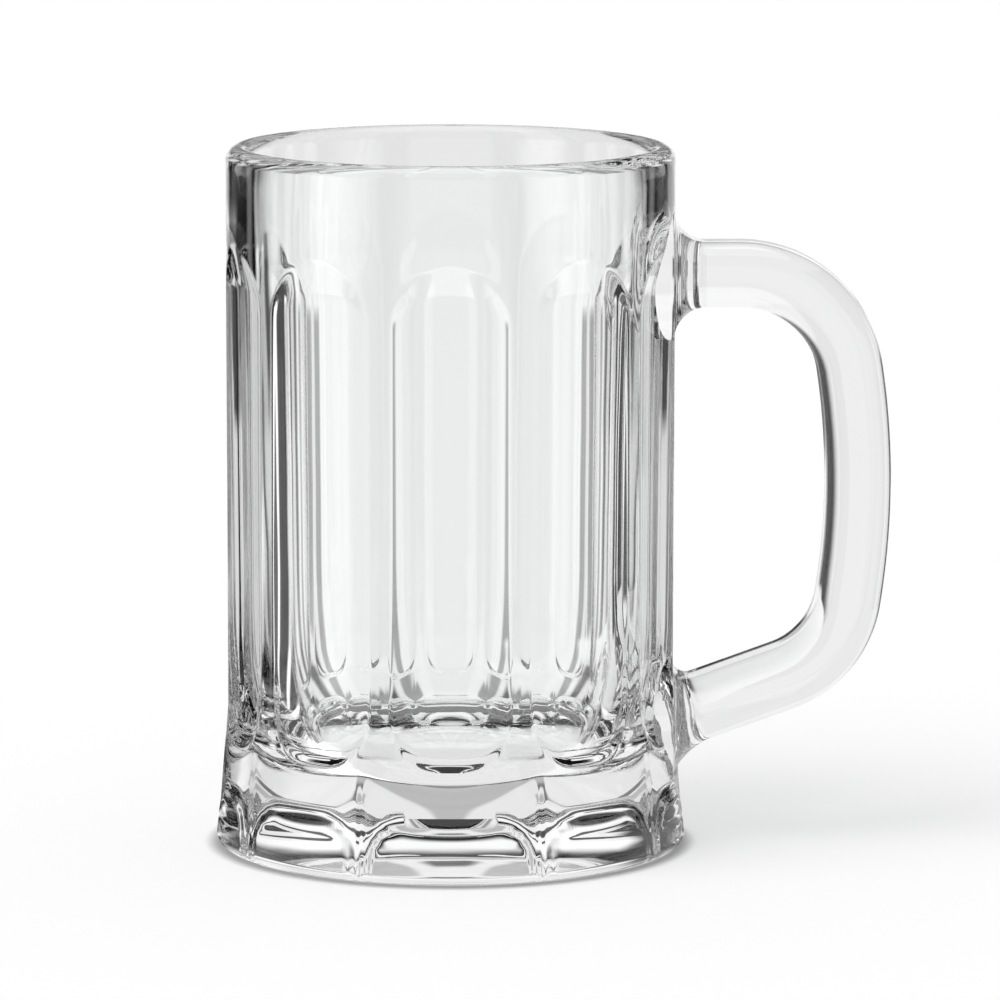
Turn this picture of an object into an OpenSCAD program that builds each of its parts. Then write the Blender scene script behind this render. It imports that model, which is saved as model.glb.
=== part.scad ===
// Clear pressed-glass beer mug: a panelled bowl on a thick creased foot, with a solid handle.
// The bowl's axis is +Z, the base stands on z = 0 and the handle points along +X. Sizes in mm.

/* [Bowl] */
// Overall height, from the base to the top of the rim
body_h = 140; // [120:1:165]
// Outside diameter over the ribs and over the plain band under the rim
body_d = 89; // [80:0.5:100]
// Thickness of the wall at the rim, which is rounded right over
rim_wall = 5.2; // [4:0.1:7]

/* [Inside] */
// Thickness of the solid glass under the inside floor
floor_t = 18; // [10:0.5:26]
// Inside diameter where the wall would meet the floor
floor_d = 74; // [66:0.5:78]
// Radius of the inside corner round the floor
floor_round = 9; // [4:0.5:16]

/* [Panels] */
// Number of flat panels round the bowl
panel_count = 10; // [8:1:11]
// Width of one flat panel, from rib to rib
panel_w = 24.3; // [18:0.1:25.5]
// Distance from the rim down to the straight top edge of a flat
panel_drop = 26.2; // [20:0.2:40]
// Radius of the two upper corners of a flat
panel_corner = 7.5; // [4:0.1:9]
// Height of the sloped run-out above a flat, at its middle
runout_h = 7.3; // [3:0.1:12]
// Height of a flat's lower edge above the base
sill_h = 24; // [20:0.2:30]
// Slope of the sill that leads from a flat out to the foot, in degrees
sill_slope = 43; // [30:1:60]
// Radius of a flat's lower corners
scoop_r = 9.5; // [6:0.5:11]

/* [Foot] */
// Diameter of the foot at the base
foot_d = 94.2; // [91:0.2:102]
// Slope of the foot's side against the upright, in degrees
foot_flare = 5.3; // [3:0.1:9]
// Radius that rolls the foot's side into the base
heel_r = 2.2; // [1:0.1:4]
// Azimuth of the crease beside the front and the back face of the foot, in degrees
front_crease = 22.6; // [18:0.1:26]
// Azimuth of the next crease towards the handle, in degrees
side_crease = 59.2; // [54:0.1:64]
// Depth of a crease at the base; it fades out at the sill
crease_d = 0.6; // [0.2:0.1:1.2]
// Width of a crease at the base
crease_w = 4; // [2:0.2:6]

/* [Handle] */
// Outermost point of the handle, from the bowl's axis
handle_reach = 87.5; // [78:0.5:100]
// Thickness of the bar, in the plane of the handle
bar_t = 12.8; // [9:0.1:16]
// Width of the bar, across the handle
bar_w = 17; // [12:0.2:22]
// Radius of the bar's four long edges
bar_round = 4.6; // [2:0.1:5.5]
// Distance from the rim down to the middle of the upper arm
upper_drop = 25.5; // [22:0.5:34]
// Height of the middle of the lower arm above the base, where it meets the bowl
lower_root_h = 25.5; // [22:0.5:34]
// Fall of the lower arm towards the bowl, in degrees
lower_fall = 20; // [8:1:30]
// Lean of the grip's ends against the upright, in degrees
grip_lean = 9; // [5:0.5:14]
// Bend radius at the middle of the bar, between the upper arm and the grip
upper_bend = 22; // [14:0.5:28]
// Bend radius at the middle of the bar, between the grip and the lower arm
lower_bend = 20; // [14:0.5:26]
// Radius of the fillet that spreads each arm over the bowl's wall
root_fillet = 6.5; // [4:0.5:10]

/* [Hidden] */
$fn = 128;
glass = [0.86, 0.9, 0.9, 0.55];

body_r = body_d / 2;
foot_r = foot_d / 2;
mouth_r = body_r - rim_wall;
panel_step = 360 / panel_count;

// A flat is a chord of the bowl, so its width sets its distance from the axis
flat_x = sqrt(pow(body_r, 2) - pow(panel_w / 2, 2));
panel_depth = body_r - flat_x;
panel_top = body_h - panel_drop;
arch_z = panel_top - panel_corner;
runout_rise = runout_h / panel_depth;

// The arch is struck a little wider than the flat, so that it leaves the flat's edges at an angle
arch_over = 0.3;
arch_y = panel_w / 2 + arch_over - panel_corner;

// The lower end is struck in the same way, and the flat is widest between the two
scoop_y = panel_w / 2 + arch_over - scoop_r;
scoop_z = sill_h + scoop_r;

// Tools stand clear of the bowl and of the foot, and neighbouring panels' tools of each other
tool_clear = 2;
tool_gap = 0.2;
tool_depth = max(foot_r, body_r) - flat_x + tool_clear;
tool_w = 2 * flat_x * tan(panel_step / 2) - tool_gap;

// The foot's cone, rolled into the base by the heel, leans to the bowl's cylinder and runs out in it
// Its lower end lies a little inside the heel's round, so that the two cross cleanly
foot_lean = foot_r < body_r ? -foot_flare : foot_flare;
cone_top_z = (foot_r - body_r) / tan(foot_lean);
heel_x = foot_r - heel_r * tan(foot_lean) - heel_r / cos(foot_lean);
heel_sink = 0.02;
heel_in = heel_r - heel_sink;

// Creases stand in mirrored pairs, and on the handle's plane
crease_azimuths = [for (side = [0, 180], turn = [front_crease, side_crease, 90, -front_crease, -side_crease])
    side + turn];
crease_lean = atan((sill_h * tan(foot_lean) - crease_d) / sill_h);

// Inside: straight tapered wall, tangent to the corner round the floor
wall_taper = atan((mouth_r - floor_d / 2) / (body_h - floor_t));
corner_x = floor_d / 2 + floor_round * tan(wall_taper) - floor_round / cos(wall_taper);
mouth_over = 1;

// Each arm spreads by a fillet that starts just under the ribs and runs on into the bowl
root_sink = 0.3;
root_in = rim_wall;
fillet_x = body_r - root_sink;

// Middle line of the bar: upper arm, upper bend, grip arc, lower bend, lower arm
bar_reach = handle_reach - bar_t / 2;
upper_z = body_h - upper_drop;
grip_top_z = upper_z - upper_bend * (1 - sin(grip_lean));
bend_exit = 90 - lower_fall;
bend_run = lower_bend * (cos(grip_lean) - cos(bend_exit));
bend_drop = lower_bend * (sin(bend_exit) - sin(grip_lean));
arm_span = bar_reach - fillet_x - bend_run;
grip_lead = 2 * sin(grip_lean) - (1 - cos(grip_lean)) * tan(lower_fall);
grip_r = (grip_top_z - lower_root_h - bend_drop - arm_span * tan(lower_fall)) / grip_lead;
grip_end_x = bar_reach - grip_r * (1 - cos(grip_lean));
grip_mid_z = grip_top_z - grip_r * sin(grip_lean);
grip_low_z = grip_mid_z - grip_r * sin(grip_lean);
upper_bend_x = grip_end_x - upper_bend * cos(grip_lean);
lower_bend_x = grip_end_x - lower_bend * cos(grip_lean);
lower_bend_z = grip_low_z + lower_bend * sin(grip_lean);

// A fillet ends before the bend begins
bend_gap = 0.5;
fillet_max = upper_bend_x - fillet_x - bend_gap;
fillet_r = min(root_fillet, fillet_max);

// Fineness of the bar's loft: rings in a fillet, degrees between rings, points in a corner
root_rings = 7;
bend_turn = 7;
grip_turn = 3;
corner_points = 6;

// Spread of the bar's section at a distance from the wall
function spread(s) = fillet_r - sqrt(pow(fillet_r, 2) - pow(fillet_r - s, 2));

// Distance of a fillet's rings from the wall, closest together at the wall
function root_distance(i) = fillet_r * (1 - cos(90 * i / root_rings));

// One ring of the loft: place in the handle's plane, heading and spread
// The lower arm's rings turn upright towards the wall, so that its fillet meets the foot squarely
function arm_ring(z, rise, s, heading) = [
    fillet_x + s * cos(rise), z + s * sin(rise), heading, s < 0 ? fillet_r : spread(s)
];
function arc_ring(x, z, radius, angle) = [
    x + radius * cos(angle), z + radius * sin(angle), angle - 90, 0
];
function arc_rings(x, z, radius, from, to, turn) =
    let (count = ceil((from - to) / turn))
    [for (i = [0 : count]) arc_ring(x, z, radius, from + (to - from) * i / count)];
function upper_arm(i) = arm_ring(upper_z, 0, root_distance(i), 0);
function lower_arm(i) =
    let (s = root_distance(i))
    arm_ring(lower_root_h, lower_fall, s, lower_fall * s / fillet_r - 180);

upper_curve = arc_rings(upper_bend_x, upper_z - upper_bend, upper_bend, 90, grip_lean, bend_turn);
grip_curve = arc_rings(bar_reach - grip_r, grip_mid_z, grip_r, grip_lean, -grip_lean, grip_turn);
lower_curve = arc_rings(lower_bend_x, lower_bend_z, lower_bend, -grip_lean, -bend_exit, bend_turn);
bar_rings = concat(
    [arm_ring(upper_z, 0, -root_in, 0)],
    [for (i = [0 : root_rings]) upper_arm(i)],
    upper_curve,
    [for (i = [1 : len(grip_curve) - 2]) grip_curve[i]],
    lower_curve,
    [for (i = [root_rings : -1 : 0]) lower_arm(i)],
    [arm_ring(lower_root_h, lower_fall, -root_in, -180)]
);

// Outline of the bar's section: thickness, then width, round the four corners
function section_point(grow, corner, k) =
    let (
        r = bar_round + grow,
        turn = 90 * (corner + k / corner_points),
        side_t = corner == 0 || corner == 3 ? 1 : -1,
        side_w = corner < 2 ? 1 : -1
    )
    [
        side_t * (bar_t / 2 - bar_round) + r * cos(turn),
        side_w * (bar_w / 2 - bar_round) + r * sin(turn)
    ];
function section(grow) = [
    for (corner = [0 : 3], k = [0 : corner_points]) section_point(grow, corner, k)
];

// A ring's points in space: thickness across the heading, width along Y
function ring_points(ring) = [
    for (p = section(ring[3]))
        [ring[0] - p[0] * sin(ring[2]), -p[1], ring[1] + p[0] * cos(ring[2])]
];

// Half section of the outside: heel, foot, upright wall and rounded rim
module outside_profile() {
    polygon([
        [0, 0],
        [heel_x, 0],
        [heel_x + heel_in * cos(foot_lean), heel_r + heel_in * sin(foot_lean)],
        [body_r, cone_top_z],
        [body_r, body_h - rim_wall / 2],
        [0, body_h - rim_wall / 2],
    ]);
    translate([heel_x, heel_r])
        circle(r = heel_r);
    translate([body_r - rim_wall / 2, body_h - rim_wall / 2])
        circle(r = rim_wall / 2);
}

// Half section of the hollow
module hollow_profile() {
    polygon([
        [0, floor_t],
        [corner_x, floor_t],
        [
            corner_x + floor_round * cos(wall_taper),
            floor_t + floor_round * (1 - sin(wall_taper)),
        ],
        [mouth_r, body_h],
        [mouth_r, body_h + mouth_over],
        [0, body_h + mouth_over],
    ]);
    translate([corner_x, floor_t + floor_round])
        circle(r = floor_round);
}

// Tool for one panel: a flat with a rounded sloping sill below and an arched run-out above
module panel_tool() {
    runout_end = panel_top + tool_depth * runout_rise;
    sill_drop = tool_depth * tan(sill_slope);
    outer_x = flat_x + tool_depth;
    rotate([90, 0, 0])
        linear_extrude(height = 2 * scoop_y, center = true)
            polygon([
                [flat_x, sill_h],
                [outer_x, sill_h - sill_drop],
                [outer_x, scoop_z],
                [flat_x, scoop_z],
            ]);
    for (side = [-1, 1])
        translate([flat_x, side * scoop_y, scoop_z])
            rotate([0, 90, 0])
                cylinder(h = tool_depth, r1 = scoop_r, r2 = scoop_r + sill_drop);
    rotate([90, 0, 0])
        linear_extrude(height = tool_w, center = true)
            polygon([
                [flat_x, scoop_z],
                [outer_x, scoop_z],
                [outer_x, arch_z],
                [flat_x, arch_z],
            ]);
    rotate([90, 0, 0])
        linear_extrude(height = 2 * arch_y, center = true)
            polygon([
                [flat_x, arch_z],
                [outer_x, arch_z],
                [outer_x, runout_end],
                [flat_x, panel_top],
            ]);
    for (side = [-1, 1])
        translate([flat_x, side * arch_y, arch_z])
            rotate([0, 90, 0])
                cylinder(h = tool_depth, r1 = panel_corner, r2 = panel_corner + tool_depth * runout_rise);
}

// Tool for one crease down the foot: a wide shallow wedge that leans with the foot's side
module crease_tool() {
    open_w = crease_w * (crease_d + tool_clear) / crease_d;
    translate([foot_r - crease_d, 0, 0])
        rotate([0, -crease_lean, 0])
            translate([0, 0, -tool_clear])
                linear_extrude(height = sill_h + 2 * tool_clear)
                    polygon([
                        [0, 0],
                        [crease_d + tool_clear, -open_w / 2],
                        [crease_d + tool_clear, open_w / 2],
                    ]);
}

// Outside of the bowl and its foot, without the hollow
module bowl_outside() {
    difference() {
        rotate_extrude()
            outside_profile();
        for (i = [0 : panel_count - 1])
            rotate([0, 0, i * panel_step - 90])
                panel_tool();
        for (azimuth = crease_azimuths)
            rotate([0, 0, azimuth - 90])
                crease_tool();
    }
}

// Solid bar of the handle, lofted through its rings
module handle_bar() {
    n = 4 * (corner_points + 1);
    last = len(bar_rings) - 1;
    points = [for (ring = bar_rings) each ring_points(ring)];
    sides = [
        for (i = [0 : last - 1], k = [0 : n - 1])
            let (a = i * n + k, b = i * n + (k + 1) % n)
            each [[a, b, a + n], [b, b + n, a + n]]
    ];
    caps = [
        [for (k = [n - 1 : -1 : 0]) k],
        [for (k = [0 : n - 1]) last * n + k],
    ];
    polyhedron(points = points, faces = concat(sides, caps));
}

// Bowl, foot and hollow: one pressed piece of glass
module mug_body() {
    color(glass)
        difference() {
            bowl_outside();
            rotate_extrude()
                hollow_profile();
        }
}

// Solid glass handle, its two roots seated on the bowl's ribs, flats and foot
module handle() {
    color(glass)
        difference() {
            handle_bar();
            bowl_outside();
        }
}

mug_body();
handle();
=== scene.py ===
"""Clear pressed-glass beer mug: a panelled bowl on a thick creased foot, with a solid handle."""

import math

import bmesh
import bpy
import numpy as np
from bpy.props import (
    FloatProperty,
    FloatVectorProperty,
    IntProperty,
    PointerProperty,
)
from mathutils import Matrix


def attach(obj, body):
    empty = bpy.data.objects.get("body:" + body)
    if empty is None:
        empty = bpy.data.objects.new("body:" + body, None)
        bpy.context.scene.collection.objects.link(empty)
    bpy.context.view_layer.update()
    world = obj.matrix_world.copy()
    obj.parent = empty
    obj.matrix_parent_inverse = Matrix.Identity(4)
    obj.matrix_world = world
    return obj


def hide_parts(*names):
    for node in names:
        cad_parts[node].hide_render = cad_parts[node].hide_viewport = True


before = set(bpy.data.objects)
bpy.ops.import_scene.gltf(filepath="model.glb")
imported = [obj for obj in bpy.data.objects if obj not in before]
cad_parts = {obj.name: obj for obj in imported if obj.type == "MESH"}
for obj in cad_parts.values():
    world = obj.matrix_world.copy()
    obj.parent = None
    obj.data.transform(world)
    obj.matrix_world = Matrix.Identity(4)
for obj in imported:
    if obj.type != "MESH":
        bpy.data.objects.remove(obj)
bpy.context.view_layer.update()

bl_info = {
    "name": "Pressed-glass beer mug",
    "version": (1, 0, 0),
    "blender": (4, 5, 0),
    "location": "View3D > Sidebar > Mug",
    "description": "Models a panelled glass mug with a solid handle, and its studio stage",
    "category": "Add Mesh",
}

MM = 0.001
MERGE = 2e-6
SMOOTH_ANGLE = math.radians(40)

# Columns of the bowl's lathe, drawn towards the ribs
COLUMNS_PER_PANEL = 52
COLUMN_CROWDING = 0.5

# Spacing of the lathe's rows, closest where the arches and sills are pressed in
FOOT_ROW = 1.6 * MM
SILL_ROW = 0.4 * MM
FLAT_ROW = 9 * MM
ARCH_ROW = 0.5 * MM
BAND_ROW = 4 * MM
INSIDE_ROW = 12 * MM

# How far the close rows run past sills and arches
UNDER_SILL = 5 * MM
OVER_SCOOP = 1 * MM
UNDER_ARCH = 4 * MM
OVER_RUNOUT = 1.5 * MM

# Steps of the section's curves, and shares of the radius where its level parts have points
HEEL_STEPS = 9
RIM_STEPS = 18
CORNER_STEPS = 24
RECESS_SHARES = (0, 0.12, 0.25, 0.4, 0.55, 0.7, 0.8, 0.9, 0.96, 1)
FLOOR_SHARES = (0.8, 0.55, 0.3, 0.0)

# Pressing: where the foot's softer edges start and how far a crease is felt
PANEL_PASSES = 3
FOOT_SOFT_TOP = 3 * MM
FOOT_SOFT_RUN = 4 * MM
CREASE_TOP = 2 * MM
CREASE_REACH = 0.3

# Steps along the handle's bar and round its section
FILLET_STEPS = 14
UPPER_STEPS = 32
GRIP_STEPS = 18
LOWER_STEPS = 26
EDGE_STEPS = 8
SIDE_SHARES = (1 / 3, 2 / 3)

# Waves in the glass
WAVE_STRETCH = (1, 1, 0.4)
WAVE_DETAIL = 1.0
WAVE_ROUGHNESS = 0.4

# How many glass faces a ray through solid glass has passed
SOLID_PASSES = (0.5, 2.5)
PASS_EDGE = 0.1
ONCE = 0.5

# Softness of the edges on the screens
WING_EDGE = math.radians(0.7)
BOX_EDGE = math.radians(8)
CARD_EDGE = math.radians(2)
SOLID_EDGE = math.radians(6)
STRIP_EDGE = math.radians(2.5)
LINE_EDGE = math.radians(1.2)
LINE_TOP_EDGE = 4 * MM
SHELF_EDGE = 5 * MM

# Softness of the edges on the floor, among them its painted light, painted shade stripes and
# painted shadow ring, and where its painted shade stripes start behind the base
BASE_LIGHT_EDGE = 3 * MM
STRIPE_GAP = 8 * MM
STRIPE_END = 2 * MM
STRIPE_EDGE = 0.4 * MM
SIDE_GAP = 3 * MM
SIDE_END = 1 * MM
RING_SHADOW_EDGE = 0.5 * MM
PATCH_EDGE = 8 * MM

# Stage pieces, sky, lamp and camera
FLOOR_SIZE = 40
FLOOR_DROP = 0.05 * MM
SCREEN_SIDES = 96
SCREEN_H = 0.6
SKY_LIGHT = 0.55
SKY_SEEN = 0.45
OVERHEAD = (0.55, 0.86)
OVERHEAD_EDGE = 0.05
OVERHEAD_DARK = 0.95
LAMP_SPOT = (-0.5, -0.3, 1.0)
LAMP_ENERGY = 1.6
LAMP_ANGLE = math.radians(40)
LAMP_TURN = (math.radians(20), math.radians(-32), 0)
SENSOR = 36.0
CLIP = (0.05, 100.0)
BOUNCES = 32
GLOSSY_BOUNCES = 24

WHITE = (1, 1, 1, 1)
BLACK = (0, 0, 0, 1)


def length(name, description, default):
    """A size in metres, shown with the scene's unit."""
    return FloatProperty(
        name=name,
        description=description,
        default=default,
        min=0.0,
        unit="LENGTH",
        precision=5,
    )


def angle(name, description, degrees):
    """An angle, shown in degrees."""
    return FloatProperty(
        name=name,
        description=description,
        default=math.radians(degrees),
        subtype="ANGLE",
    )


def number(name, description, default):
    """A plain factor."""
    return FloatProperty(name=name, description=description, default=default, min=0.0)


def colour(name, description, default):
    """A linear colour."""
    return FloatVectorProperty(
        name=name,
        description=description,
        default=default,
        min=0.0,
        max=1.0,
        size=3,
        subtype="COLOR",
    )


class BowlSizes(bpy.types.PropertyGroup):
    """Sizes of the pressed bowl and its foot"""

    height: length("Height", "From the base to the top of the rim", 140 * MM)
    diameter: length("Diameter", "Over the ribs and the plain band", 89 * MM)
    rim_wall: length("Rim wall", "Thickness of the rounded rim", 5.2 * MM)
    floor_t: length("Floor thickness", "Solid glass under the inside", 18 * MM)
    floor_d: length("Floor diameter", "Inside, where wall would meet floor", 74 * MM)
    floor_round: length("Floor round", "Width of the inside corner's round", 9 * MM)
    floor_rise: length("Floor rise", "Height of the inside corner's round", 26 * MM)
    panels: IntProperty(
        name="Panels", description="Flat panels round the bowl", default=10, min=8, max=11
    )
    panel_w: length("Panel width", "Width of one flat, rib to rib", 24.3 * MM)
    panel_drop: length("Panel drop", "From the rim to a flat's top edge", 26.2 * MM)
    panel_corner: length("Panel corner", "Radius of a flat's upper corners", 7.5 * MM)
    arch_over: length("Arch overlap", "How far the arch is struck past the flat", 0.3 * MM)
    runout_h: length("Run-out height", "Slope above a flat, at its middle", 7.3 * MM)
    sill_h: length("Sill height", "Lower edge of a flat above the base", 24 * MM)
    sill_slope: angle("Sill slope", "Slope from a flat out to the foot", 43)
    scoop_r: length("Scoop radius", "Radius of a flat's lower corners", 9.5 * MM)
    recess_r: length("Recess radius", "Hollow under the base", 37 * MM)
    recess_d: length("Recess depth", "At the middle of the base", 2.5 * MM)
    facet: number("Facet", "How flat the foot is from crease to crease", 0.75)
    boss_h: length("Boss height", "Top of the round bosses at the heel", 10.5 * MM)
    boss_gap: length("Boss gap", "From a crease to the boss beside it", 3 * MM)
    boss_round: length("Boss round", "Radius of a boss's upper corners", 6 * MM)
    boss_slope: length("Boss slope", "Width of the slope round a boss", 2.6 * MM)
    foot_d: length("Foot diameter", "Across the foot at the base", 94.2 * MM)
    foot_flare: angle("Foot flare", "Lean of the foot's side", 5.3)
    heel_r: length("Heel radius", "Rolls the foot's side into the base", 2.2 * MM)
    front_crease: angle("Front crease", "Azimuth of the crease beside the front", 22.6)
    side_crease: angle("Side crease", "Azimuth of the next crease", 59.2)
    crease_d: length("Crease depth", "Depth of a crease at the base", 0.6 * MM)
    crease_w: length("Crease width", "Width of a crease at the base", 4 * MM)
    edge_soft: length("Edge softness", "Rounding of the ribs' pressed edges", 0.12 * MM)
    foot_soft: length("Foot edge softness", "Rounding of the foot's upper edge", 0.45 * MM)
    hollow_soft: length("Hollow softness", "Rounding where a flat meets its slopes", 0.7 * MM)


class HandleSizes(bpy.types.PropertyGroup):
    """Sizes of the solid handle"""

    reach: length("Reach", "Outermost point from the bowl's axis", 87.5 * MM)
    bar_t: length("Bar thickness", "In the plane of the handle", 12.8 * MM)
    bar_w: length("Bar width", "Across the handle", 17 * MM)
    bar_round: length("Bar round", "Radius of the bar's long edges", 4.6 * MM)
    upper_drop: length("Upper drop", "From the rim to the upper arm's middle", 25.5 * MM)
    lower_root_h: length("Lower root height", "Lower arm's middle at the bowl", 25.5 * MM)
    lower_fall: angle("Lower fall", "Fall of the lower arm to the bowl", 20)
    grip_lean: angle("Grip lean", "Lean of the grip's ends", 9)
    upper_bend: length("Upper bend", "Radius at the bar's middle", 22 * MM)
    lower_bend: length("Lower bend", "Radius at the bar's middle", 20 * MM)
    root_fillet: length("Root fillet", "Spreads each arm over the bowl", 6.5 * MM)
    root_sink: length("Root sink", "Where a fillet starts under the ribs", 0.3 * MM)
    root_in: length("Root depth", "How far a root runs on into the wall", 4.6 * MM)


class GlassLooks(bpy.types.PropertyGroup):
    """Finish of the glass"""

    tint: colour("Tint", "Colour of the glass", (0.985, 0.99, 0.99))
    shadow: colour("Shadow tint", "What lamps keep on their way through", (0.8, 0.81, 0.81))
    ior: FloatProperty(
        name="IOR", description="Index of refraction of the glass", default=1.52, min=1.0
    )
    wave: length("Wave", "Depth of the faint waves left by the mould", 0.04 * MM)
    wave_l: length("Wave length", "Width of one wave", 11 * MM)


class StageLooks(bpy.types.PropertyGroup):
    """Floor, screens and camera"""

    floor: colour("Floor", "Colour of the floor", (0.8, 0.8, 0.8))
    floor_lift: number("Floor lift", "Glow that brings the lit floor to white", 0.24)
    screen_r: length("Screen radius", "Distance of the screens from the axis", 0.3)
    dark: number("Dark", "Brightness of the dark screens", 0.005)
    window: angle("Window", "Bright gap behind the mug, to the left", 30)
    window_right: angle("Window right", "The same gap to the right, beside the handle", 40)
    window_edge: angle("Window edge", "Softness of the gap's edges", 4)
    pale: number("Pale", "Brightness of the gap", 0.92)
    front_gap: angle("Front gap", "Bearing where the bright gap before the mug starts", 152)
    front_glow: number("Front glow", "Brightness of that gap", 0.5)
    wing_start: angle("Wing start", "Bearing where the brighter wings of the gap start", 9)
    wing_end: angle("Wing end", "Bearing where the wings end", 22)
    wing_glow: number("Wing glow", "How much brighter the wings are", 0.06)
    top_start: length("Top start", "Height where the gap turns brighter", 0.112)
    top_end: length("Top end", "Height where the gap is brightest", 0.128)
    top_glow: number("Top glow", "How much brighter the gap is there", 0.11)
    card_a: angle("First card", "Bearing of a narrow white card at each side", 60)
    card_b: angle("Second card", "Bearing of another", 82)
    card_w: angle("Card width", "Width of these cards", 5)
    card_glow: number("Card glow", "Brightness of these cards", 1.2)
    shelf: number("Shelf", "How dark a shelf across the gap is in reflections", 0.92)
    shelf_start: length("Shelf start", "Lower edge of that shelf", 0.034)
    shelf_end: length("Shelf end", "Upper edge of that shelf", 0.082)
    head_start: length("Head start", "Height where gap and boxes start to end", 0.145)
    head_end: length("Head end", "Height above which all is dark", 0.18)
    box_start: angle("Box start", "Bearing where the soft boxes start", 106)
    box_end: angle("Box end", "Bearing where the soft boxes end", 135)
    box_left: number("Left box", "Brightness of the left soft box", 1.6)
    box_right: number("Right box", "Brightness of the right soft box", 1.0)
    strip_start: angle("Strip start", "Bearing where the hollow shows a first dark strip", 28)
    strip_end: angle("Strip end", "Bearing where a second strip ends", 54)
    strip_w: angle("Strip width", "Width of each of these strips", 8)
    strip_share: number("Strip share", "How dark the hollow shows these strips", 0.86)
    line_start: angle("Line start", "Bearing where the hollow shows a narrow grey line", 16)
    line_end: angle("Line end", "Bearing where that line ends", 22)
    line_top: length("Line top", "Height where that line ends", 0.064)
    line_share: number("Line share", "How dark the hollow shows that line", 0.6)
    solid_share: number("Solid share", "How dark solid glass shows a strip at each side", 0.92)
    solid_dim: number("Solid dim", "How much greyer solid glass shows the gap", 0.08)
    solid_end: angle("Solid end", "Bearing where the strip that solid glass shows ends", 60)
    base_r: length("Base radius", "Floor under the foot that the foot shows", 0.046)
    # Painted light: a steady glow that the foot shows of the floor under it.
    painted_base_light: number("Base glow", "How bright the foot shows that floor", 0.85)
    # Painted shade: grey stripes on the floor behind the foot, seen only through solid glass.
    painted_stripe_shade: number("Stripe", "Grey stripe that the foot shows on the floor behind it", 0.4)
    stripe_shade_more: number("Stripe end", "How much darker its near end is", 0.4)
    stripe_w: length("Stripe width", "Half width of that stripe", 0.0013)
    stripe_near: length("Stripe near end", "Where the darker end stops, from the axis", 0.0645)
    side_start: length("Side stripes", "Inside of the two stripes beside that one", 0.0026)
    side_end: length("Side stripes' edge", "Outside of these stripes", 0.0058)
    side_far: length("Side stripes' end", "Far end of these stripes, from the axis", 0.0585)
    # Painted shadow: a dark ring on the floor round the foot, seen only through solid glass.
    ring: number("Ring", "How dark the foot shows the floor round it", 0.65)
    ring_shadow_start: length("Ring start", "Inside of that shade", 0.0465)
    ring_shadow_end: length("Ring end", "Outside of that shade", 0.0487)
    # Painted contact shadow: the floor's colour and glow are darkened in a ring where the foot
    # stands.
    painted_contact_shadow: number("Contact", "How dark the floor is where the foot stands on it", 0.6)
    contact_shadow_start: length("Contact start", "Inside of that shade", 0.0445)
    contact_shadow_end: length("Contact end", "Outside of that shade", 0.048)
    contact_shadow_edge: length("Contact edge", "Softness of that shade", 0.002)
    patch_start: length("Patch start", "Lit floor that the handle shows, from the axis", 0.052)
    patch_end: length("Patch end", "Far side of that floor", 0.22)
    patch_w: length("Patch width", "Half width of that floor", 0.15)
    camera_y: length("Camera distance", "From the bowl's axis, level", 1.306)
    camera_z: length("Camera height", "Above the base", 0.27)
    camera_tilt: angle("Camera tilt", "Below the horizon", 8.753)
    lens: FloatProperty(
        name="Lens", description="Focal length in mm on 36 mm", default=238.6, min=1.0
    )
    shift: FloatProperty(
        name="Shift", description="Sideways shift of the frame", default=0.0495
    )


def deselect():
    """Leaves edit mode with nothing selected."""
    if bpy.context.object is not None and bpy.context.object.mode != "OBJECT":
        bpy.ops.object.mode_set(mode="OBJECT")
    bpy.ops.object.select_all(action="DESELECT")


def pick(obj, *others):
    """Selects these objects, the first of them active."""
    deselect()
    for o in (obj, *others):
        o.select_set(True)
    bpy.context.view_layer.objects.active = obj


def edit_all(obj):
    """Opens a mesh in edit mode with all of it selected."""
    pick(obj)
    bpy.ops.object.mode_set(mode="EDIT")
    bpy.ops.mesh.select_all(action="SELECT")


def face_outward():
    """Turns the faces of the mesh in edit mode outward, and leaves edit mode."""
    bpy.ops.mesh.select_all(action="SELECT")
    bpy.ops.mesh.normals_make_consistent(inside=False)
    bpy.ops.object.mode_set(mode="OBJECT")


def coordinates(obj):
    """The mesh's vertices as rows of x, y, z."""
    co = np.empty(len(obj.data.vertices) * 3)
    obj.data.vertices.foreach_get("co", co)
    return co.reshape(-1, 3)


def place(obj, co):
    """Moves the mesh's vertices to these rows of x, y, z."""
    obj.data.vertices.foreach_set("co", co.astype(np.float32).ravel())
    obj.data.update()


def open_edges(obj):
    """How many edges of the mesh don't join exactly two faces."""
    bm = bmesh.new()
    bm.from_mesh(obj.data)
    count = sum(1 for e in bm.edges if len(e.link_faces) != 2)
    bm.free()
    return count


def arc(x, z, radius, start, end, count):
    """Points on an arc in the half section, angles in radians, first point left out."""
    turns = [start + (end - start) * i / count for i in range(1, count + 1)]
    return [(x + radius * math.cos(t), z + radius * math.sin(t)) for t in turns]


def rows_between(z0, z1, spacing):
    """Heights from just over z0 up to z1."""
    count = max(1, math.ceil((z1 - z0) / spacing))
    return [z0 + (z1 - z0) * i / count for i in range(1, count + 1)]


def foot_radius(b, z):
    """Radius of the foot's cone, which runs out in the straight bowl."""
    return np.maximum(b.foot_d / 2 - z * math.tan(b.foot_flare), b.diameter / 2)


def hollow_taper(b):
    """Lean of the inside wall."""
    mouth_r = b.diameter / 2 - b.rim_wall
    return math.atan((mouth_r - b.floor_d / 2) / (b.height - b.floor_t))


def base_section(b):
    """The section's start: from the base's middle along the recess and round the heel."""
    flare = b.foot_flare
    heel_x = b.foot_d / 2 - b.heel_r * (math.tan(flare) + 1 / math.cos(flare))
    points = [(b.recess_r * s, b.recess_d * (1 - s * s)) for s in RECESS_SHARES]
    points += [(heel_x, 0.0)]
    return points + arc(heel_x, b.heel_r, b.heel_r, -math.pi / 2, flare, HEEL_STEPS)


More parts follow.
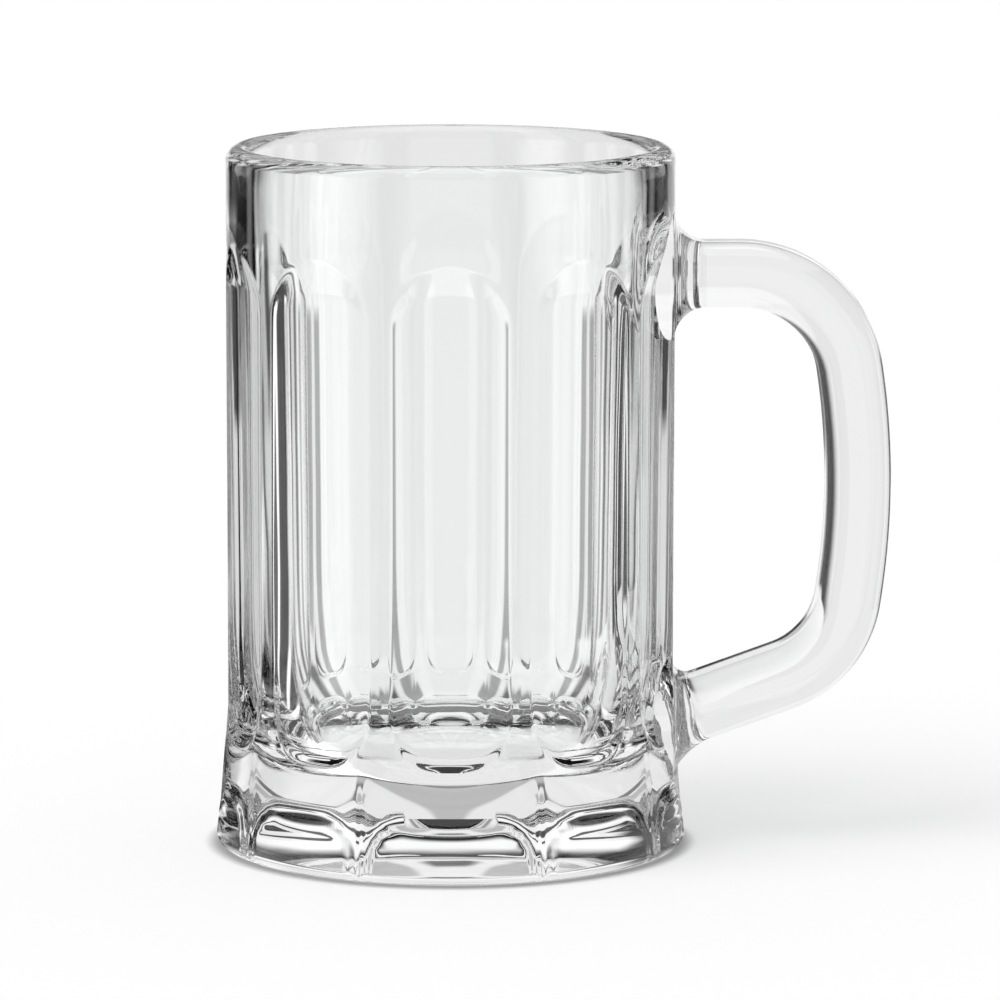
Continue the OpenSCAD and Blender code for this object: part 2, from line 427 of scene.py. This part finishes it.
def outer_rows(b, heel_z):
    """Heights of the outside's rows, from the heel to the rim."""
    panel_top = b.height - b.panel_drop
    sill_z = b.sill_h - UNDER_SILL
    scoop_z = b.sill_h + b.scoop_r + OVER_SCOOP
    arch_z = panel_top - b.panel_corner - UNDER_ARCH
    band_z = panel_top + b.runout_h + OVER_RUNOUT
    rows = rows_between(heel_z, sill_z, FOOT_ROW)
    rows += rows_between(sill_z, scoop_z, SILL_ROW)
    rows += rows_between(scoop_z, arch_z, FLAT_ROW)
    rows += rows_between(arch_z, band_z, ARCH_ROW)
    return rows + rows_between(band_z, b.height - b.rim_wall / 2, BAND_ROW)


def hollow_section(b):
    """The section's end: down the inside wall, round its corner and in to the floor's middle."""
    slope = math.tan(hollow_taper(b))
    wall_r = b.floor_d / 2 - b.floor_t * slope
    low_z = b.floor_t + b.floor_rise
    inner = rows_between(low_z, b.height - b.rim_wall / 2, INSIDE_ROW)[:-1]
    points = [(wall_r + z * slope, z) for z in reversed(inner)]
    for i in range(CORNER_STEPS + 1):
        turn = math.pi / 2 * i / CORNER_STEPS
        z = low_z - b.floor_rise * math.sin(turn)
        inset = b.floor_round * (1 - math.cos(turn))
        points.append((wall_r + z * slope - inset, z))
    corner_x = b.floor_d / 2 - b.floor_round
    return points + [(corner_x * s, b.floor_t) for s in FLOOR_SHARES]


def bowl_section(b):
    """Half section of the bowl from the base's middle round to the floor's middle."""
    rim_r = b.rim_wall / 2
    points = base_section(b)
    points += [(float(foot_radius(b, z)), z) for z in outer_rows(b, points[-1][1])]
    points += arc(b.diameter / 2 - rim_r, b.height - rim_r, rim_r, 0, math.pi, RIM_STEPS)
    return points + hollow_section(b)


def lathe(name, section, sectors, columns):
    """A closed turned body: one point drawn out to the section, one sector spun, then repeated."""
    deselect()
    bpy.ops.mesh.primitive_plane_add(size=1 * MM)
    obj = bpy.context.object
    obj.name = obj.data.name = name
    bpy.ops.object.mode_set(mode="EDIT")
    bpy.ops.mesh.select_all(action="SELECT")
    bpy.ops.mesh.merge(type="CENTER")
    r0, z0 = section[0]
    bpy.ops.transform.translate(value=(0, -r0, z0))
    for r1, z1 in section[1:]:
        step = (0, r0 - r1, z1 - z0)
        bpy.ops.mesh.extrude_region_move(TRANSFORM_OT_translate={"value": step})
        r0, z0 = r1, z1
    bpy.ops.mesh.select_all(action="SELECT")
    sector = math.tau / sectors
    around = {"center": (0, 0, 0), "axis": (0, 0, 1)}
    bpy.ops.mesh.spin(steps=columns, angle=sector, **around)
    bpy.ops.mesh.select_all(action="SELECT")
    bpy.ops.mesh.spin(steps=sectors - 1, dupli=True, angle=math.tau - sector, **around)
    bpy.ops.mesh.select_all(action="SELECT")
    bpy.ops.mesh.remove_doubles(threshold=MERGE)
    face_outward()
    return obj


def soft_min(a, b, k):
    """The smaller of two radii, with the edge between them rounded."""
    return 0.5 * (a + b - np.sqrt((a - b) ** 2 + k**2))


def soft_over(d, k):
    """d where it is above zero, with a round foot."""
    return 0.5 * (d + np.sqrt(d**2 + k**2))


def smooth(value):
    """0 below 0, 1 above 1, and an even swing between them."""
    value = np.clip(value, 0, 1)
    return value**2 * (3 - 2 * value)


def panel_radius(b, turn, z):
    """Radius to which one panel's tool presses the glass, at an angle from its middle."""
    flat_x = math.sqrt((b.diameter / 2) ** 2 - (b.panel_w / 2) ** 2)
    runout = b.runout_h / (b.diameter / 2 - flat_x)
    panel_top = b.height - b.panel_drop
    arch_z = panel_top - b.panel_corner
    arch_y = b.panel_w / 2 + b.arch_over - b.panel_corner
    scoop_y = b.panel_w / 2 - b.scoop_r
    scoop_z = b.sill_h + b.scoop_r
    x = np.full_like(z, flat_x)
    for _ in range(PANEL_PASSES):
        y = np.abs(x * np.tan(turn))
        beside, above = np.maximum(y - arch_y, 0), np.maximum(z - arch_z, 0)
        outside = np.hypot(beside, above) - b.panel_corner
        beside, below = np.maximum(y - scoop_y, 0), np.maximum(scoop_z - z, 0)
        under = np.hypot(beside, below) - b.scoop_r
        rise = soft_over(outside, b.hollow_soft) / runout
        rise += soft_over(under, b.hollow_soft) / math.tan(b.sill_slope)
        x = flat_x + rise
    return x / np.cos(turn)


def facet_radius(b, r, azimuth, z):
    """Radius of the foot, flattened from crease to crease round a boss at each heel."""
    turns = (b.front_crease, b.side_crease, math.pi / 2)
    creases = np.array([-t for t in reversed(turns)] + list(turns))
    turn = (azimuth + math.pi / 2) % math.pi - math.pi / 2
    k = np.clip(np.searchsorted(creases, turn) - 1, 0, len(creases) - 2)
    middle, half = (creases[k] + creases[k + 1]) / 2, (creases[k + 1] - creases[k]) / 2
    flat = r * np.cos(half) / np.cos(turn - middle)
    side = half * r - b.boss_gap - b.boss_round
    beside = np.maximum(np.abs(turn - middle) * r - side, 0)
    above = np.maximum(z - b.boss_h + b.boss_round, 0)
    outside = np.hypot(beside, above) - b.boss_round
    run_out = np.clip((b.sill_h - z) / (b.sill_h - b.boss_h), 0, 1)
    return r + (flat - r) * smooth(outside / b.boss_slope) * run_out * b.facet


def crease(b, pressed, r, azimuth, z):
    """The pressed radius with the foot's creases cut in, front and back alike."""
    lean = math.tan(b.foot_flare) - b.crease_d / b.sill_h
    valley = b.foot_d / 2 - b.crease_d - z * lean
    low = z < b.sill_h + CREASE_TOP
    turns = (b.front_crease, b.side_crease, math.pi / 2, -b.front_crease, -b.side_crease)
    for side in (0, math.pi):
        for turn in turns:
            off = np.abs((azimuth - side - turn + math.pi) % math.tau - math.pi)
            cut = valley + off * r * 2 * b.crease_d / b.crease_w
            near = (off < CREASE_REACH) & low
            pressed = np.where(near, soft_min(pressed, cut, b.edge_soft), pressed)
    return pressed


def press(obj, b):
    """Presses panels, sills and creases into the lathe, its columns drawn towards the ribs."""
    co = coordinates(obj)
    x, y, z = co.T
    r = np.hypot(x, y)
    azimuth = np.arctan2(x, -y)
    step = math.tau / b.panels
    panel = np.round(azimuth / step)
    share = (azimuth - panel * step) / (step / 2)
    share = share * (1 + COLUMN_CROWDING - COLUMN_CROWDING * np.abs(share))
    turn = share * step / 2
    azimuth = panel * step + turn
    outer = r > (b.diameter / 2 - b.rim_wall / 2)
    outer &= z < b.height - b.rim_wall
    at_foot = smooth((b.sill_h + FOOT_SOFT_TOP - z) / FOOT_SOFT_RUN)
    soft = b.edge_soft + (b.foot_soft - b.edge_soft) * at_foot
    pressed = soft_min(r, panel_radius(b, turn, z), soft)
    pressed = np.minimum(pressed, facet_radius(b, r, azimuth, z))
    r = np.where(outer, crease(b, pressed, r, azimuth, z), r)
    place(obj, np.stack([r * np.sin(azimuth), -r * np.cos(azimuth), z], axis=1))


def bar_rings(b, h):
    """Rings along the bar: x, z, heading and spread of the section."""
    fillet_x = b.diameter / 2 - h.root_sink
    reach = h.reach - h.bar_t / 2
    upper_z = b.height - h.upper_drop
    lean, fall = h.grip_lean, h.lower_fall
    top_z = upper_z - h.upper_bend * (1 - math.sin(lean))
    bend_exit = math.pi / 2 - fall
    run = h.lower_bend * (math.cos(lean) - math.cos(bend_exit))
    drop = h.lower_bend * (math.sin(bend_exit) - math.sin(lean))
    span = reach - fillet_x - run
    lead = 2 * math.sin(lean) - (1 - math.cos(lean)) * math.tan(fall)
    grip_r = (top_z - h.lower_root_h - drop - span * math.tan(fall)) / lead
    end_x = reach - grip_r * (1 - math.cos(lean))
    mid_z = top_z - grip_r * math.sin(lean)
    low_z = mid_z - grip_r * math.sin(lean)
    fillet = h.root_fillet

    def arm(z, rise, s, heading):
        """A ring of an arm, s out from where its fillet starts."""
        spread = fillet
        if s >= 0:
            spread -= math.sqrt(max(0, fillet**2 - (fillet - s) ** 2))
        return (fillet_x + s * math.cos(rise), z + s * math.sin(rise), heading, spread)

    def bend(x, z, radius, start, end, count):
        """Rings round a bend, angles in radians."""
        turns = [start + (end - start) * i / count for i in range(count + 1)]
        return [
            (x + radius * math.cos(t), z + radius * math.sin(t), t - math.pi / 2, 0.0)
            for t in turns
        ]

    quarter = [math.pi / 2 * i / FILLET_STEPS for i in range(FILLET_STEPS + 1)]
    steps = [fillet * (1 - math.cos(t)) for t in quarter]
    rings = [arm(upper_z, 0, -h.root_in, 0)]
    rings += [arm(upper_z, 0, s, 0) for s in steps]
    rings += bend(
        end_x - h.upper_bend * math.cos(lean),
        upper_z - h.upper_bend,
        h.upper_bend,
        math.pi / 2,
        lean,
        UPPER_STEPS,
    )
    rings += bend(reach - grip_r, mid_z, grip_r, lean, -lean, GRIP_STEPS)[1:-1]
    rings += bend(
        end_x - h.lower_bend * math.cos(lean),
        low_z + h.lower_bend * math.sin(lean),
        h.lower_bend,
        -lean,
        -bend_exit,
        LOWER_STEPS,
    )
    rings += [
        arm(h.lower_root_h, fall, s, fall * s / fillet - math.pi) for s in reversed(steps)
    ]
    rings.append(arm(h.lower_root_h, fall, -h.root_in, -math.pi))
    return rings


def bar_section(h, spread):
    """Outline of the bar's section: thickness and width, round the four corners."""
    r = h.bar_round + spread
    t, w = h.bar_t / 2 - h.bar_round, h.bar_w / 2 - h.bar_round
    corners = ((t, w), (-t, w), (-t, -w), (t, -w))
    points = []
    for i, (ct, cw) in enumerate(corners):
        for k in range(EDGE_STEPS + 1):
            turn = math.pi / 2 * (i + k / EDGE_STEPS)
            points.append((ct + r * math.cos(turn), cw + r * math.sin(turn)))
        (at, aw), (nt, nw) = points[-1], corners[(i + 1) % 4]
        turn = math.pi / 2 * (i + 1)
        bt, bw = nt + r * math.cos(turn), nw + r * math.sin(turn)
        for s in SIDE_SHARES:
            points.append((at + (bt - at) * s, aw + (bw - aw) * s))
    return points


def ring_points(h, ring):
    """A ring's points in space: thickness across the heading, width along Y."""
    x, z, heading, spread = ring
    return np.array(
        [
            (x - t * math.sin(heading), -w, z + t * math.cos(heading))
            for t, w in bar_section(h, spread)
        ]
    )


def sweep(name, rings):
    """A closed bar: a disc whose rim is extruded from ring to ring."""
    deselect()
    count = len(rings[0])
    bpy.ops.mesh.primitive_circle_add(vertices=count, radius=1 * MM, fill_type="NGON")
    obj = bpy.context.object
    obj.name = obj.data.name = name
    place(obj, rings[0])
    bpy.ops.object.mode_set(mode="EDIT")
    bpy.ops.mesh.select_all(action="SELECT")
    last = rings[0]
    for ring in rings[1:]:
        bpy.ops.mesh.extrude_region_move()
        bm = bmesh.from_edit_mesh(obj.data)
        for v in (v for v in bm.verts if v.select):
            near = np.argmin(np.abs(last - np.array(v.co)).sum(axis=1))
            v.co = ring[near]
        bmesh.update_edit_mesh(obj.data)
        last = ring
    face_outward()
    return obj


def copy_of(obj, name):
    """A copy with its own mesh."""
    pick(obj)
    bpy.ops.object.duplicate()
    twin = bpy.context.object
    twin.name = twin.data.name = name
    return twin


def boolean(obj, other, operation):
    """Applies an exact boolean that keeps each side's material."""
    pick(obj)
    m = obj.modifiers.new("cut", "BOOLEAN")
    m.operation = operation
    m.object = other
    m.solver = "EXACT"
    m.material_mode = "TRANSFER"
    bpy.ops.object.modifier_apply(modifier=m.name)


def drop_faces(obj, material, keep):
    """Deletes the faces of a material, or with keep all the others."""
    index = [s.material for s in obj.material_slots].index(material)
    pick(obj)
    bpy.ops.object.mode_set(mode="EDIT")
    bpy.ops.mesh.select_mode(type="FACE")
    bm = bmesh.from_edit_mesh(obj.data)
    for f in bm.faces:
        f.select_set((f.material_index == index) != keep)
    bmesh.update_edit_mesh(obj.data)
    bpy.ops.mesh.delete(type="FACE")
    bpy.ops.mesh.select_mode(type="VERT")
    bpy.ops.object.mode_set(mode="OBJECT")


def close_roots(bowl, handle, seat):
    """Closes the bowl at the roots with the handle's seat faces, turned over."""
    drop_faces(bowl, seat, keep=False)
    cap = copy_of(handle, "cap")
    drop_faces(cap, seat, keep=True)
    edit_all(cap)
    bpy.ops.mesh.flip_normals()
    bpy.ops.object.mode_set(mode="OBJECT")
    pick(bowl, cap)
    bpy.ops.object.join()


def weld(obj):
    """Merges the mesh's doubled points, and raises if it isn't closed then."""
    edit_all(obj)
    bpy.ops.mesh.remove_doubles(threshold=MERGE)
    bpy.ops.object.mode_set(mode="OBJECT")
    if open_edges(obj):
        raise RuntimeError(f"{obj.name} has {open_edges(obj)} open edges")


def only_material(obj, material):
    """Gives the whole mesh one material."""
    obj.data.materials.clear()
    obj.data.materials.append(material)


class Sock:
    """A shader socket that adds Math nodes when values are worked out with it."""

    def __init__(self, tree, socket):
        self.tree, self.socket = tree, socket

    def _math(self, operation, a, b=None):
        return add(self.tree, "ShaderNodeMath", {"operation": operation}, {0: a, 1: b})

    def __add__(self, other):
        return self._math("ADD", self, other)

    def __radd__(self, other):
        return self._math("ADD", other, self)

    def __sub__(self, other):
        return self._math("SUBTRACT", self, other)

    def __rsub__(self, other):
        return self._math("SUBTRACT", other, self)

    def __mul__(self, other):
        return self._math("MULTIPLY", self, other)

    def __rmul__(self, other):
        return self._math("MULTIPLY", other, self)

    def __gt__(self, other):
        return self._math("GREATER_THAN", self, other)

    def __abs__(self):
        return self._math("ABSOLUTE", self)

    def bearing(self, other):
        """Angle from the second axis towards this one."""
        return self._math("ARCTAN2", self, other)

    def root(self):
        """Square root."""
        return self._math("SQRT", self)

    def larger(self, other):
        """The larger of two values."""
        return self._math("MAXIMUM", self, other)

    def ramp(self, low, high):
        """0 at low and 1 at high, smooth between them."""
        settings = {"interpolation_type": "SMOOTHSTEP"}
        inputs = {"Value": self, 1: low, 2: high}
        return add(self.tree, "ShaderNodeMapRange", settings, inputs)

    def under(self, limit, edge):
        """1 below a value and 0 above it, with a soft edge."""
        return 1 - self.ramp(limit - edge, limit + edge)

    def band(self, low, high, edge):
        """1 between two values, with soft edges."""
        return self.ramp(low - edge, low + edge) * self.under(high, edge)


def add(tree, kind, settings=None, inputs=None, output=0):
    """Adds a node with its settings, then its inputs as values or links; gives one output."""
    node = tree.nodes.new(kind)
    for key, value in (settings or {}).items():
        setattr(node, key, value)
    for key, value in (inputs or {}).items():
        if value is None:
            continue
        if isinstance(value, Sock):
            tree.links.new(value.socket, node.inputs[key])
        else:
            node.inputs[key].default_value = value
    return Sock(tree, node.outputs[output])


def tree_of(owner):
    """An empty node tree on a material or world."""
    owner.use_nodes = True
    owner.node_tree.nodes.clear()
    return owner.node_tree


def output(tree, shader, kind="ShaderNodeOutputMaterial"):
    """Ends a tree in its output node."""
    node = tree.nodes.new(kind)
    tree.links.new(shader.socket, node.inputs["Surface"])


def mixed(tree, factor, first, second):
    """A Mix Shader of two shaders."""
    return add(tree, "ShaderNodeMixShader", None, {0: factor, 1: first, 2: second})


def emission(tree, tone):
    """A glow of this tone."""
    return add(tree, "ShaderNodeEmission", None, {"Color": tone, "Strength": 1.0})


def rgba(value):
    """A colour with full alpha."""
    return (value[0], value[1], value[2], 1.0)


def axes(tree, space):
    """The x, y and z of one of the Texture Coordinate node's outputs."""
    spot = add(tree, "ShaderNodeTexCoord", output=space)
    split = tree.nodes.new("ShaderNodeSeparateXYZ")
    tree.links.new(spot.socket, split.inputs[0])
    return [Sock(tree, split.outputs[axis]) for axis in "XYZ"]


def light_path(tree, name):
    """One of the Light Path node's values."""
    return add(tree, "ShaderNodeLightPath", output=name)


def seen_rays(tree):
    """1 for rays that show the stage: from the camera, a reflection or through glass."""
    camera = light_path(tree, "Is Camera Ray")
    glossy = light_path(tree, "Is Glossy Ray")
    through = light_path(tree, "Is Transmission Ray")
    return camera.larger(glossy).larger(through)


def mirrored_rays(tree):
    """1 for rays that a face of the glass has reflected."""
    return light_path(tree, "Glossy Depth") > ONCE


def clear_glass(looks):
    """Fire-polished colourless glass that lets lamps through with a pale shadow."""
    mat = bpy.data.materials.new("clear_glass")
    tree = tree_of(mat)
    spot = add(tree, "ShaderNodeTexCoord", output="Object")
    spot = add(tree, "ShaderNodeMapping", None, {0: spot, 3: WAVE_STRETCH})
    noise = add(
        tree,
        "ShaderNodeTexNoise",
        None,
        {
            "Vector": spot,
            "Scale": 1 / looks.wave_l,
            "Detail": WAVE_DETAIL,
            "Roughness": WAVE_ROUGHNESS,
        },
    )
    waves = add(
        tree,
        "ShaderNodeBump",
        None,
        {"Strength": 1.0, "Distance": looks.wave, "Height": noise},
    )
    glass = add(
        tree,
        "ShaderNodeBsdfPrincipled",
        None,
        {
            "Base Color": rgba(looks.tint),
            "Roughness": 0.0,
            "IOR": looks.ior,
            "Transmission Weight": 1.0,
            "Normal": waves,
        },
    )
    pale = add(tree, "ShaderNodeBsdfTransparent", None, {"Color": rgba(looks.shadow)})
    output(tree, mixed(tree, light_path(tree, "Is Shadow Ray"), glass, pale))
    return mat


def fused_seat():
    """Where handle and bowl are fused there is no surface, so light goes straight on."""
    mat = bpy.data.materials.new("fused_seat")
    tree = tree_of(mat)
    output(tree, add(tree, "ShaderNodeBsdfTransparent", None, {"Color": WHITE}))
    return mat


class Rays:
    """Where rays meet the stage, and how they came through or off the glass."""

    def __init__(self, tree):
        self.x, self.y, self.z = axes(tree, "Object")
        self.bearing = self.x.bearing(self.y)
        self.leftward = self.bearing * -1.0
        self.away = abs(self.bearing)
        passes = light_path(tree, "Transmission Depth")
        self.solid = passes.band(*SOLID_PASSES, PASS_EDGE)
        self.mirrored = mirrored_rays(tree)
        self.glass = self.mirrored.larger(passes > ONCE)


def gap_tone(rays, looks):
    """Brightness of the gap behind the mug, with its wings and its brighter top."""
    wings = rays.away.band(looks.wing_start, looks.wing_end, WING_EDGE)
    top = rays.z.ramp(looks.top_start, looks.top_end)
    return looks.pale + wings * looks.wing_glow + top * looks.top_glow


def mirrored_studio(rays, looks, pale):
    """What the glass reflects: a dark room with the gap and its shelf, cards and soft boxes."""
    boxes = (looks.box_start, looks.box_end, BOX_EDGE)
    left = rays.leftward.band(*boxes) * looks.box_left
    right = rays.bearing.band(*boxes) * looks.box_right
    gap = rays.bearing.band(-looks.window, looks.window_right, looks.window_edge)
    cards = rays.away.band(looks.card_a, looks.card_a + looks.card_w, CARD_EDGE)
    cards += rays.away.band(looks.card_b, looks.card_b + looks.card_w, CARD_EDGE)
    front = rays.away.ramp(looks.front_gap, looks.front_gap + looks.window_edge)
    bright = cards * looks.card_glow + left + right + front * looks.front_glow
    shelf = rays.z.band(looks.shelf_start, looks.shelf_end, SHELF_EDGE) * looks.shelf
    low = 1 - rays.z.ramp(looks.head_start, looks.head_end)
    return (pale * gap * (1 - shelf) + bright) * low + looks.dark


def studio_through(rays, looks, pale):
    """What is seen through the glass: a pale room, its dark strips not alike for all glass."""
    solid, hollow = rays.solid, 1 - rays.solid
    beside = rays.leftward.band(looks.window, looks.solid_end, SOLID_EDGE)
    beside += rays.bearing.band(looks.window_right, looks.solid_end, SOLID_EDGE)
    strips = rays.away.band(looks.strip_start, looks.strip_start + looks.strip_w, STRIP_EDGE)
    strips += rays.away.band(looks.strip_end - looks.strip_w, looks.strip_end, STRIP_EDGE)
    line = rays.away.band(looks.line_start, looks.line_end, LINE_EDGE)
    line *= rays.z.under(looks.line_top, LINE_TOP_EDGE)
    dark = beside * solid * looks.solid_share
    dark += (strips * looks.strip_share + line * looks.line_share) * hollow
    return pale * (1 - dark) * (1 - solid * looks.solid_dim)


def surroundings(rays, looks):
    """What the glass shows of the studio, by bearing and height."""
    pale = gap_tone(rays, looks)
    through = studio_through(rays, looks, pale)
    return through + (mirrored_studio(rays, looks, pale) - through) * rays.mirrored


def floor_in_foot(rays, looks, radius):
    """What the glass shows of the floor: painted light under the base, painted shade stripes
    behind it and a painted shadow ring round it.
    """
    x, y, solid = rays.x, rays.y, rays.solid
    # Painted light: the floor under the foot glows at least this bright for rays through the
    # glass.
    under_foot = 1 - radius.ramp(looks.base_r - BASE_LIGHT_EDGE, looks.base_r)
    seen = surroundings(rays, looks).larger(under_foot * looks.painted_base_light)
    # Painted shade: a grey stripe behind the foot, darker at its near end, and a stripe at each
    # side of it.
    painted_stripe_shade = y.band(looks.base_r + STRIPE_GAP, 2 * looks.base_r, STRIPE_END) * solid
    painted_stripe_shade *= abs(x).under(looks.stripe_w, STRIPE_EDGE)
    near = y.under(looks.stripe_near, STRIPE_END)
    side_stripe_shade = abs(x).band(looks.side_start, looks.side_end, STRIPE_EDGE) * solid
    side_stripe_shade *= y.band(looks.base_r + SIDE_GAP, looks.side_far, SIDE_END)
    # Painted shadow: a dark ring round the foot.
    ring = radius.band(looks.ring_shadow_start, looks.ring_shadow_end, RING_SHADOW_EDGE) * solid
    seen *= 1 - painted_stripe_shade * (looks.painted_stripe_shade + near * looks.stripe_shade_more)
    seen *= 1 - side_stripe_shade * looks.painted_stripe_shade
    return seen * (1 - ring * looks.ring)


def floor_finish(looks):
    """Pale floor: lit as it is, darkened round the foot by a painted contact shadow, with a glow
    that brings it to white where it is seen.
    """
    mat = bpy.data.materials.new("pale_floor")
    tree = tree_of(mat)
    rays = Rays(tree)
    radius = (rays.x * rays.x + rays.y * rays.y).root()
    # Painted contact shadow: a ring round the foot where the floor's colour goes towards black and
    # its glow is cut.
    painted_contact_shadow = radius.band(looks.contact_shadow_start, looks.contact_shadow_end, looks.contact_shadow_edge)
    painted_contact_shadow *= looks.painted_contact_shadow
    tone = add(
        tree,
        "ShaderNodeMix",
        {"data_type": "RGBA"},
        {0: painted_contact_shadow, 6: rgba(looks.floor), 7: BLACK},
        2,
    )
    matt = add(tree, "ShaderNodeBsdfDiffuse", None, {"Color": tone})
    lift = emission(tree, seen_rays(tree) * (1 - painted_contact_shadow) * looks.floor_lift)
    pale = add(tree, "ShaderNodeAddShader", None, {0: matt, 1: lift})
    # Glow that rays from the glass see on the floor, with the painted light, painted shade stripes
    # and painted shadow ring round the foot.
    card = emission(tree, floor_in_foot(rays, looks, radius))
    under_handle = rays.x.band(looks.patch_start, looks.patch_end, PATCH_EDGE)
    under_handle *= abs(rays.y).under(looks.patch_w, PATCH_EDGE)
    output(tree, mixed(tree, rays.glass * (1 - under_handle), pale, card))
    return mat


def screen_finish(looks):
    """Screens and soft boxes that only the glass shows, with a bright gap behind the mug."""
    mat = bpy.data.materials.new("screens")
    tree = tree_of(mat)
    rays = Rays(tree)
    clear = add(tree, "ShaderNodeBsdfTransparent", None, {"Color": WHITE})
    card = emission(tree, surroundings(rays, looks))
    output(tree, mixed(tree, rays.glass, clear, card))
    return mat


def stage_piece(name, material):
    """Names the mesh just added, applies its place and gives it its finish."""
    obj = bpy.context.object
    obj.name = name
    bpy.ops.object.transform_apply(location=True, rotation=False, scale=False)
    only_material(obj, material)
    return obj


def lay_floor(looks):
    """A wide floor just under the base."""
    deselect()
    bpy.ops.mesh.primitive_plane_add(size=FLOOR_SIZE, location=(0, 0, -FLOOR_DROP))
    return stage_piece("floor", floor_finish(looks))


def stand_screen(looks):
    """A round screen that only the glass sees."""
    deselect()
    bpy.ops.mesh.primitive_cylinder_add(
        vertices=SCREEN_SIDES,
        radius=looks.screen_r,
        depth=SCREEN_H,
        end_fill_type="NOTHING",
        location=(0, 0, SCREEN_H / 2),
    )
    screen = stage_piece("screen", screen_finish(looks))
    screen.visible_camera = False
    screen.visible_diffuse = False
    screen.visible_shadow = False
    return screen


def studio_sky(scene):
    """A white world that lights the floor a little less, and is dark overhead in reflections."""
    world = bpy.data.worlds.new("studio")
    scene.world = world
    tree = tree_of(world)
    height = axes(tree, "Generated")[2]
    overhead = height.band(*OVERHEAD, OVERHEAD_EDGE) * mirrored_rays(tree)
    tone = (SKY_LIGHT + seen_rays(tree) * SKY_SEEN) * (1 - overhead * OVERHEAD_DARK)
    sky = add(tree, "ShaderNodeBackground", None, {"Color": tone, "Strength": 1.0})
    output(tree, sky, "ShaderNodeOutputWorld")


def broad_light():
    """A broad lamp, above and before the mug to the left, for the floor and the shadow."""
    bpy.ops.object.light_add(type="SUN", location=LAMP_SPOT)
    lamp = bpy.context.object
    lamp.name = "broad_light"
    lamp.data.energy = LAMP_ENERGY
    lamp.data.angle = LAMP_ANGLE
    lamp.rotation_euler = LAMP_TURN
    lamp.visible_camera = False
    lamp.visible_glossy = False
    lamp.visible_transmission = False


def stand_camera(scene, looks):
    """The camera before the mug, looking a little down on it."""
    camera = bpy.data.cameras.new("camera")
    camera.lens, camera.sensor_width = looks.lens, SENSOR
    camera.shift_x = looks.shift
    camera.clip_start, camera.clip_end = CLIP
    eye = bpy.data.objects.new("camera", camera)
    scene.collection.objects.link(eye)
    eye.location = (0, -looks.camera_y, looks.camera_z)
    eye.rotation_euler = (math.pi / 2 - looks.camera_tilt, 0, 0)
    scene.camera = eye


class MUG_OT_bowl(bpy.types.Operator):
    """Turn the bowl on the lathe and press its panels, sills and creases"""

    bl_idname = "mug.bowl"
    bl_label = "Bowl"

    def execute(self, context):
        b = context.scene.mug_bowl
        obj = lathe("bowl", bowl_section(b), b.panels, COLUMNS_PER_PANEL)
        press(obj, b)
        only_material(obj, clear_glass(context.scene.mug_glass))
        return {"FINISHED"}


class MUG_OT_handle(bpy.types.Operator):
    """Sweep the handle's bar and fuse its two roots to the bowl"""

    bl_idname = "mug.handle"
    bl_label = "Handle"

    def execute(self, context):
        b, h = context.scene.mug_bowl, context.scene.mug_handle
        bowl = bpy.data.objects["bowl"]
        glass, seat = bowl.data.materials[0], fused_seat()
        bar = sweep("bar", [ring_points(h, ring) for ring in bar_rings(b, h)])
        only_material(bar, glass)
        cutter = copy_of(bowl, "cutter")
        only_material(cutter, seat)
        handle = copy_of(bar, "glass_handle")
        boolean(handle, cutter, "DIFFERENCE")
        only_material(bar, seat)
        boolean(bowl, bar, "UNION")
        close_roots(bowl, handle, seat)
        for obj in (bowl, handle):
            weld(obj)
            bpy.ops.object.shade_smooth_by_angle(angle=SMOOTH_ANGLE)
            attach(obj, "root")
        bowl.name = bowl.data.name = "glass_bowl"
        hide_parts("mug_body")
        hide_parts("handle")
        for spare in (bar, cutter):
            bpy.data.objects.remove(spare)
        return {"FINISHED"}


class MUG_OT_stage(bpy.types.Operator):
    """Lay the floor, stand the screens, and set the light and the camera"""

    bl_idname = "mug.stage"
    bl_label = "Stage"

    def execute(self, context):
        scene = context.scene
        looks = scene.mug_stage
        floor = lay_floor(looks)
        screen = stand_screen(looks)
        studio_sky(scene)
        broad_light()
        stand_camera(scene, looks)
        scene.view_settings.view_transform = "Standard"
        scene.cycles.max_bounces = BOUNCES
        scene.cycles.transmission_bounces = BOUNCES
        scene.cycles.glossy_bounces = GLOSSY_BOUNCES
        scene.cycles.transparent_max_bounces = BOUNCES
        return {"FINISHED"}


class MUG_PT_panel(bpy.types.Panel):
    """The mug's sizes and steps"""

    bl_label = "Mug"
    bl_space_type = "VIEW_3D"
    bl_region_type = "UI"
    bl_category = "Mug"

    def draw(self, context):
        for group in GROUPS:
            box = self.layout.box()
            settings = getattr(context.scene, group)
            for name in settings.__annotations__:
                box.prop(settings, name)
        for step in STEPS:
            self.layout.operator(step.bl_idname)


STEPS = (MUG_OT_bowl, MUG_OT_handle, MUG_OT_stage)
GROUPS = {
    "mug_bowl": BowlSizes,
    "mug_handle": HandleSizes,
    "mug_glass": GlassLooks,
    "mug_stage": StageLooks,
}


def register():
    for cls in (*GROUPS.values(), *STEPS, MUG_PT_panel):
        bpy.utils.register_class(cls)
    for name, cls in GROUPS.items():
        setattr(bpy.types.Scene, name, PointerProperty(type=cls))


def unregister():
    for name in GROUPS:
        delattr(bpy.types.Scene, name)
    for cls in (MUG_PT_panel, *reversed(STEPS), *reversed(list(GROUPS.values()))):
        bpy.utils.unregister_class(cls)


def main():
    register()
    bpy.ops.mug.bowl()
    bpy.ops.mug.handle()
    bpy.ops.mug.stage()


if __name__ == "__main__":
    main()
